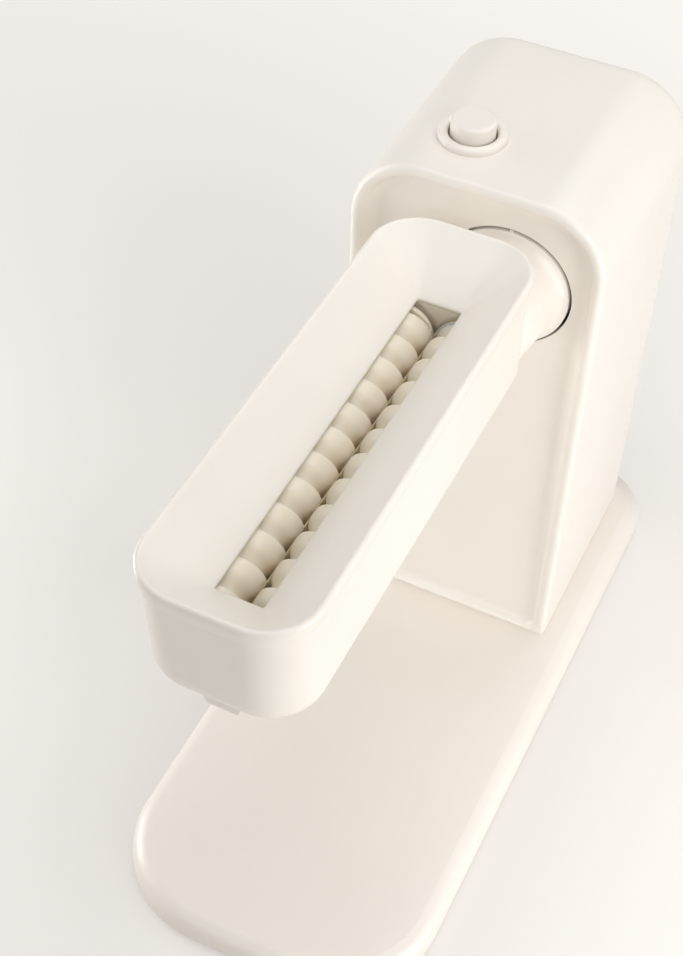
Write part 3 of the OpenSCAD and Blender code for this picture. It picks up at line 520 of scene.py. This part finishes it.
BORE_R = 30.2  # hole for the arm's collar
BUTTON_X, BUTTON_Y = [round((low + high) / 2, 2) for low, high in zip(*node_box("button_cap"))][:2]
BUTTON_HOLE_R = 12.6


def depth_share(z):
    """Share of the panel's depth at a height: it comes forward from LEAN_Z down to LEAN_FOOT."""
    return 1.0 if z >= LEAN_Z else 1.0 - LEAN_SHARE * (LEAN_Z - z) / (LEAN_Z - LEAN_FOOT)


def col_ring(inset, depth, foot, corner, follow=0.0):
    """The column's arch at a depth; follow is how far the depth takes part in the panel's lean."""
    half_width, arch_r = COL_HALF - inset, ARCH_R - inset
    half = arc(half_width - corner, foot + corner, corner, -90, 90, 8)
    half += [(half_width, z) for z in SIDE_LEVELS]
    half += arc(half_width - arch_r, COL_TOP - inset - arch_r, arch_r, 0, 90, 16)
    outline = half + [(-x, z) for x, z in reversed(half)]
    return [(x, depth * (1.0 + follow * (depth_share(z) - 1.0)), z) for x, z in outline]


def recess():
    """Rings of the recess, from its panel up an S-shaped wall to the lip's inner edge."""
    fall = RECESS - RIM_R - COVE_R
    reach = math.sqrt((RIM_R + COVE_R) ** 2 - fall ** 2)
    turns = [math.atan2(reach, -fall) * k / 8 for k in range(9)]
    wall = [(reach + 3.0, RECESS)]
    wall += [(reach - COVE_R * math.sin(a), RECESS - COVE_R + COVE_R * math.cos(a)) for a in turns]
    wall += [(RIM_R * math.sin(a), RIM_R - RIM_R * math.cos(a)) for a in reversed(turns[:-1])]
    return [col_ring(LIP + inward, depth, PANEL_FOOT + PANEL_RISE * inward, PANEL_CORNER,
                     follow=min(1.0, depth / RECESS * 1.2)) for inward, depth in wall]


def lip():
    """Rings that round the lip over from its front to the column's sides."""
    rings = []
    for k in range(1, 7):
        a = math.radians(15.0 * k)
        out = math.sin(a)
        rings.append(col_ring(LIP * (1 - out), LIP * (1 - math.cos(a)),
                              PANEL_FOOT - (PANEL_FOOT - SIDE_FOOT) * out,
                              PANEL_CORNER - (PANEL_CORNER - SIDE_CORNER) * out))
    return rings


def rear_edge():
    turns = [math.radians(11.25 * k) for k in range(9)]
    return [col_ring(REAR_R * (1 - math.cos(a)), COL_REAR - REAR_R + REAR_R * math.sin(a),
                     SIDE_FOOT, SIDE_CORNER) for a in turns]


def column_inside():
    """Rings of the rear cover's seat, the rear opening and the hollow behind the panel."""
    seat, inner = COL_REAR - COVER_DEPTH, COL_REAR - REAR_WALL
    steps = [(COVER_IN, COL_REAR, COVER_FOOT), (COVER_IN, seat, COVER_FOOT),
             (OPENING_IN, seat, OPENING_FOOT), (OPENING_IN, inner, OPENING_FOOT),
             (SIDE_WALL + 0.6, inner, INSIDE_FOOT), (SIDE_WALL, inner - 2.5, INSIDE_FOOT),
             (SIDE_WALL, PANEL_BACK, INSIDE_FOOT)]
    return [col_ring(inset, depth, foot, 1.0) for inset, depth, foot in steps]


def button_circle(radius, z, n):
    """Points round the button's axis at a height."""
    return [(BUTTON_X + radius * c, BUTTON_Y + radius * s, z) for c, s in circle(n)]


def foot_frame():
    """Plate that closes the column's foot against the base."""
    gap = 0.8
    return block(gap - COL_HALF, COL_HALF - gap, gap, COL_REAR - gap, COL_FOOT, COL_FOOT + 1.4)


def add_column_housing():
    sides = [col_ring(0.0, depth, SIDE_FOOT, SIDE_CORNER) for depth in (10.0, 40.0, 80.0, 104.0)]
    rings = recess() + lip() + sides + rear_edge() + column_inside()
    column = solid("column_housing", rings, ladder=True)
    combine(column, cylinder(BORE_R, -3.0, 13.0), "DIFFERENCE")
    hole = [button_circle(BUTTON_HOLE_R, z, 64) for z in (262.0, 280.0)]
    combine(column, solid("hole", hole), "DIFFERENCE")
    combine(column, foot_frame(), "UNION")
    dress(column, shell, 24.0)
    steady_normals(column)
    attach(column, "body")
    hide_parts("column_shell")


# ---------------------------------------------------------------- screws
PITCH, TURNS = 14.7, 12
FLIGHT_REAR = -38.6
FLIGHT_FRONT = FLIGHT_REAR - TURNS * PITCH
PIN_R, PIN_TIP = 4.0, node_box("screw_left")[0][1]
SHAFT_R, SHAFT_END = 6.0, node_box("screw_left")[1][1]
LEFT_EDGE, RIGHT_EDGE = -38.4, -37.69  # the lands' rear edges, which mesh
CLAW_OUT, CLAW_IN, CLAW_SWEEP = 8.2, 3.0, 50  # radii, and an angle in degrees

# (share of the pitch ahead of the land's rear edge, radius): the full land falls away into the root
LAND = [(0.000, 12.65), (0.006, 12.95), (0.018, 13.12), (0.04, 13.2), (0.10, 13.2), (0.25, 13.2),
        (0.36, 13.14), (0.44, 12.98), (0.50, 12.7), (0.56, 12.25), (0.62, 11.7), (0.68, 11.14),
        (0.74, 10.64), (0.80, 10.28), (0.86, 10.08), (0.90, 10.02), (0.93, 10.0), (0.955, 10.0),
        (0.972, 10.1), (0.983, 10.7), (0.992, 11.8)]

# (radius, y) pairs of what each flight runs between and of the shafts behind
FRONT_PIN = [(PIN_R, PIN_TIP), (PIN_R, FLIGHT_FRONT + 0.3)]
REAR_DOME = [(13.16, FLIGHT_REAR - 0.5), (13.16, -38.4), (12.95, -37.6), (12.3, -36.5), (11.0, -35.4),
             (9.0, -34.7), (6.6, -34.5)]
LEFT_SHAFT = [(SHAFT_R, FLIGHT_REAR - 0.3), (SHAFT_R, SHAFT_END - 0.4), (SHAFT_R - 0.4, SHAFT_END)]
RIGHT_SHAFT = [(SHAFT_R, FLIGHT_REAR - 0.3), (SHAFT_R, 3.0), (8.5, 3.0), (8.5, 5.0)]


def wind(bm, x, hand, edge, columns=72):
    """Adds a flight without ends; its rows follow the helix, so each turn is seamed to the next.

    hand is 1 or -1, and edge is where the land's rear edge stands at angle 0.
    """
    grid = []
    for turn in range(-2, TURNS + 2):
        for share, r in LAND:
            y = edge - PITCH * (turn + share)
            grid.append([bm.verts.new(at(x + r * c, y - hand * PITCH * j / columns, AXIS_Z + r * s))
                         for j, (c, s) in enumerate(circle(columns))])
    last = columns - 1
    for a in range(len(grid) - 1):
        for j in range(last):
            bm.faces.new((grid[a][j], grid[a][j + 1], grid[a + 1][j + 1], grid[a + 1][j]))
        b = a + len(LAND) * hand
        if 0 <= b < len(grid) - 1:
            bm.faces.new((grid[a][last], grid[b][0], grid[b + 1][0], grid[a + 1][last]))


def cut_off(bm, y, side):
    """Cuts a flight at y and closes it; side is 1 to drop what lies behind, -1 what lies in front."""
    cut = bmesh.ops.bisect_plane(bm, geom=bm.verts[:] + bm.edges[:] + bm.faces[:], dist=1e-7,
                                 plane_co=at(0, y, 0), plane_no=(0, side, 0), clear_outer=True)
    bmesh.ops.contextual_create(bm, geom=[g for g in cut["geom_cut"] if isinstance(g, bmesh.types.BMEdge)])


def feed_screw(name, x, hand, edge, shaft):
    bm = bmesh.new()
    wind(bm, x, hand, edge)
    cut_off(bm, FLIGHT_REAR, 1.0)
    cut_off(bm, FLIGHT_FRONT, -1.0)
    for profile in (FRONT_PIN, REAR_DOME, shaft):
        lathe(bm, x, profile, 48)
    piece = mesh_object(name, bm)
    dress(piece, screw_plastic, 40.0)
    return piece


def claw(middle):
    """One of the two claws that couple the right screw to the output shaft, about an angle."""
    start = middle - CLAW_SWEEP / 2
    outline = (arc(AXIS_X, AXIS_Z, CLAW_OUT, start, CLAW_SWEEP, 10)
               + arc(AXIS_X, AXIS_Z, CLAW_IN, start, CLAW_SWEEP, 10)[::-1])
    return solid("claw", [[(x, y, z) for x, z in outline] for y in (4.9, 12.4)], ladder=True)


def add_screws():
    left = feed_screw("feed_screw_left", -AXIS_X, 1, LEFT_EDGE, LEFT_SHAFT)
    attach(left, "left_screw")
    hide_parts("screw_left")
    right = feed_screw("feed_screw_right", AXIS_X, -1, RIGHT_EDGE, RIGHT_SHAFT)
    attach(right, "right_screw")
    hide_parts("screw_right")
    claws = joined("screw_claws", [claw(68), claw(248)])
    dress(claws, screw_plastic, 35.0)
    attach(claws, "right_screw")


def add_highlight_web():
    """Thin warm sheet between the screws: a painted golden highlight, seen as a sliver at the bottom of
    each groove.
    """
    web = block(-0.12, 0.12, -204.0, -36.0, 213.0, AXIS_Z + 2.4)
    web.name = "highlight_web"
    paint(web, web_highlight_plastic)
    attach(web, "arm")


# ---------------------------------------------------------------- button
SPRING_FOOT, SPRING_TOP = 269.2, 283.55
SPRING_R, WIRE_R, COILS = 5.0, 0.45, 6
BEAD_R, BEAD_HALF, BEAD_Z, BEAD_RISE = 12.95, 2.25, 278.0, 1.75


def coil_rings(steps=40, sides=12):
    """Sections of the spring's wire, steps of them in each turn."""
    count = COILS * steps
    rings = []
    for i in range(count + 1):
        turn = 2 * math.pi * i / steps
        z = SPRING_FOOT + WIRE_R + (SPRING_TOP - SPRING_FOOT - 2 * WIRE_R) * i / count
        rings.append([(BUTTON_X + (SPRING_R + WIRE_R * c) * math.cos(turn),
                       BUTTON_Y + (SPRING_R + WIRE_R * c) * math.sin(turn), z + WIRE_R * s)
                      for c, s in circle(sides)])
    return rings


def add_button_coil():
    """The button's spring, a coil of round wire."""
    spring = solid("button_coil", coil_rings())
    dress(spring, steel, 60.0)
    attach(spring, "body")
    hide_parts("button_spring")
    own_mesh(spring)


def add_bezel_bead():
    """Round bead over the button's ring."""
    profile = [(12.2, 275.4), (10.7, 275.6), (10.7, 278.5)]
    turns = [math.radians(a) for a in range(20, 181, 16)]
    profile += [(BEAD_R - BEAD_HALF * math.cos(a), BEAD_Z + BEAD_RISE * math.sin(a)) for a in turns]
    profile += [(15.2, 276.7), (14.9, 276.4)]
    bezel = loft("bezel_bead", [button_circle(radius, z, 96) for radius, z in profile])
    dress(bezel, shell, 50.0)
    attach(bezel, "body")


# ---------------------------------------------------------------- hopper tray
TRAY_FRONT, TRAY_BOTTOM = node_box("hopper_tray")[0][1:]
TRAY_HALF, TRAY_REAR, TRAY_TOP = node_box("hopper_tray")[1]
TRAY_CORNER = 22.0
SKIRT_IN, SKIRT_Z = 2.05, 252.75

# rings of the tray as (half width, front, rear, corner radius, z)
SLOT_TOP = (9.84, -207.3, -34.8, 1.0, 240.9)
SLOT_LIP = [(9.98, -207.45, -34.65, 1.0, 240.86), (9.84, -207.3, -34.8, 1.0, 240.6),
            (9.84, -207.3, -34.8, 1.0, 239.5), (10.0, -207.46, -34.64, 1.1, TRAY_BOTTOM),
            (12.04, -209.5, -32.6, 2.4, TRAY_BOTTOM)]
UNDER_LOW = (12.04, -209.5, -32.6, 2.4, 239.5)
UNDER_TOP = (30.8, -227.0, -11.3, 18.0, ARM_SEAT)


def rim_ring(inset, z):
    """Ring inside the tray's outline."""
    return (TRAY_HALF - inset, TRAY_FRONT + inset, TRAY_REAR - inset, TRAY_CORNER - inset, z)


def between(low, high, share):
    return tuple(a + (b - a) * share for a, b in zip(low, high))


def add_tray_funnel():
    """Tray: skirt over the arm's step, round rim, slopes, slot lip, and the slopes' underside."""
    rings = [rim_ring(inset, z) for inset, z in (
        (SKIRT_IN, ARM_SEAT), (SKIRT_IN, SKIRT_Z), (0.62, SKIRT_Z), (0.5, 252.9), (0.4, 253.2),
        (0.1, 256.5), (0.0, 258.4), (0.07, 259.1), (0.3, 259.6), (0.7, 260.0), (1.2, TRAY_TOP),
        (1.7, 260.17), (2.3, 259.85))]
    slope_top = rim_ring(3.0, 259.3)
    rings += [between(slope_top, SLOT_TOP, share) for share in (0.0, 0.04, 0.2, 0.4, 0.6, 0.8, 0.94, 0.975)]
    rings += SLOT_LIP
    rings += [between(UNDER_LOW, UNDER_TOP, share) for share in (0.0, 0.25, 0.5, 0.75, 1.0)]
    tray = loft("tray_funnel", [[(x, y, z) for x, y in rounded(half, front, rear, corner, 14)]
                                for half, front, rear, corner, z in rings])
    dress(tray, shell, 50.0)
    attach(tray, "tray")
    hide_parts("hopper_tray")


# ---------------------------------------------------------------- floor, world and lamps, in metres
PAPER, PALE = (240, 236, 231), (238, 235, 231)
FLOOR_HALF = 6.0
POOL = (-0.17, 0.0, 0.0)
POOL_REACH, POOL_GLOW, FAR_GLOW = 0.8, 0.55, 1.46
WORLD_LIGHT = 0.145
BODY_MIDDLE, REAR_MIDDLE = (0, -0.02, 0.15), (0, 0.03, 0.15)

# name, place, aim, diameter, power in watts
LAMPS = [
    ("key", (1.55, -1.0, 1.2), BODY_MIDDLE, 1.3, 13.0),
    ("right_fill", (0.6, -0.02, 0.35), BODY_MIDDLE, 0.5, 0.6),
    ("left_fill", (-0.6, -0.02, 0.4), BODY_MIDDLE, 0.5, 1.18),
    ("front_fill", (0, -1.8, 0.9), BODY_MIDDLE, 1.5, 5.6),
    ("low_left", (-0.45, -0.12, 0.12), REAR_MIDDLE, 0.25, 0.86),
    ("low_right", (0.5, -0.12, 0.12), REAR_MIDDLE, 0.25, 0.88),
    ("top", (0, 0, 1.0), REAR_MIDDLE, 0.8, 2.25),
    ("top_back", (0.2, 0.5, 1.0), REAR_MIDDLE, 0.8, 2.8),
]


def seen_ray(tree):
    """1 for rays from the camera and for those of reflections and clear material, else 0."""
    path = new_node(tree, "LightPath")
    seen = path.outputs["Is Camera Ray"]
    for other in ("Is Glossy Ray", "Is Transmission Ray"):
        either = new_node(tree, "Math")
        either.operation = "MAXIMUM"
        tree.links.new(seen, either.inputs[0])
        tree.links.new(path.outputs[other], either.inputs[1])
        seen = either.outputs["Value"]
    return seen


def mixed(tree, factor, first, second, target):
    """Mixes two shader outputs into a target input."""
    mix = new_node(tree, "MixShader")
    tree.links.new(factor, mix.inputs["Fac"])
    tree.links.new(first, mix.inputs[1])
    tree.links.new(second, mix.inputs[2])
    tree.links.new(mix.outputs["Shader"], target)


def floor_material():
    """Pale paper; where it is seen, it is half lit paper and half glow, which grows away from the pool."""
    material, tree, shader = new_material("floor_paper", Base_Color=lin(PAPER), Roughness=0.9,
                                          Specular_IOR_Level=0.1)
    away = new_node(tree, "VectorMath")
    away.operation = "DISTANCE"
    away.inputs[1].default_value = POOL
    tree.links.new(object_place(tree), away.inputs[0])
    grow = new_node(tree, "MapRange", From_Min=0.0, From_Max=POOL_REACH, To_Min=POOL_GLOW, To_Max=FAR_GLOW)
    tree.links.new(away.outputs["Value"], grow.inputs["Value"])
    glow = new_node(tree, "Emission", Color=(1.045, 1.0, 0.955, 1.0))
    tree.links.new(grow.outputs["Result"], glow.inputs["Strength"])
    half = new_node(tree, "Math")
    half.operation = "MULTIPLY"
    half.inputs[1].default_value = 0.5
    tree.links.new(seen_ray(tree), half.inputs[0])
    mixed(tree, half.outputs["Value"], shader.outputs["BSDF"], glow.outputs["Emission"],
          tree.nodes["Material Output"].inputs["Surface"])
    return material


def add_floor():
    h = FLOOR_HALF
    mesh = bpy.data.meshes.new("floor")
    mesh.from_pydata([(-h, -h, 0), (h, -h, 0), (h, h, 0), (-h, h, 0)], [], [(0, 1, 2, 3)])
    floor = bpy.data.objects.new("floor", mesh)
    paint(floor, floor_material())
    bpy.context.scene.collection.objects.link(floor)


def add_world():
    """Even white light; where the world itself is seen, it is as pale as the floor."""
    world = bpy.data.worlds.new("studio")
    bpy.context.scene.world = world
    world.use_nodes = True
    tree = world.node_tree
    light = set_inputs(tree.nodes["Background"], Color=(1.0, 1.0, 1.0, 1.0), Strength=WORLD_LIGHT)
    pale = new_node(tree, "Background", Color=lin(PALE), Strength=1.0)
    mixed(tree, seen_ray(tree), light.outputs["Background"], pale.outputs["Background"],
          tree.nodes["World Output"].inputs["Surface"])


def add_lamp(name, place, aim, size, power):
    """Round soft lamp that the camera doesn't see."""
    data = bpy.data.lights.new(name, "AREA")
    data.shape = "DISK"
    data.size = size
    data.energy = power
    lamp = bpy.data.objects.new(name, data)
    lamp.location = place
    lamp.rotation_euler = (Vector(aim) - Vector(place)).to_track_quat("-Z", "Y").to_euler()
    lamp.visible_camera = False
    bpy.context.scene.collection.objects.link(lamp)


# ---------------------------------------------------------------- the scene
bpy.context.scene.view_settings.view_transform = "Standard"
add_camera()
for node_name, node in NODES.items():
    paint(node, LOOK[node_name])
add_arm_housing()
add_column_housing()
add_screws()
add_highlight_web()
add_button_coil()
add_bezel_bead()
add_tray_funnel()
add_floor()
add_world()
for lamp in LAMPS:
    add_lamp(*lamp)
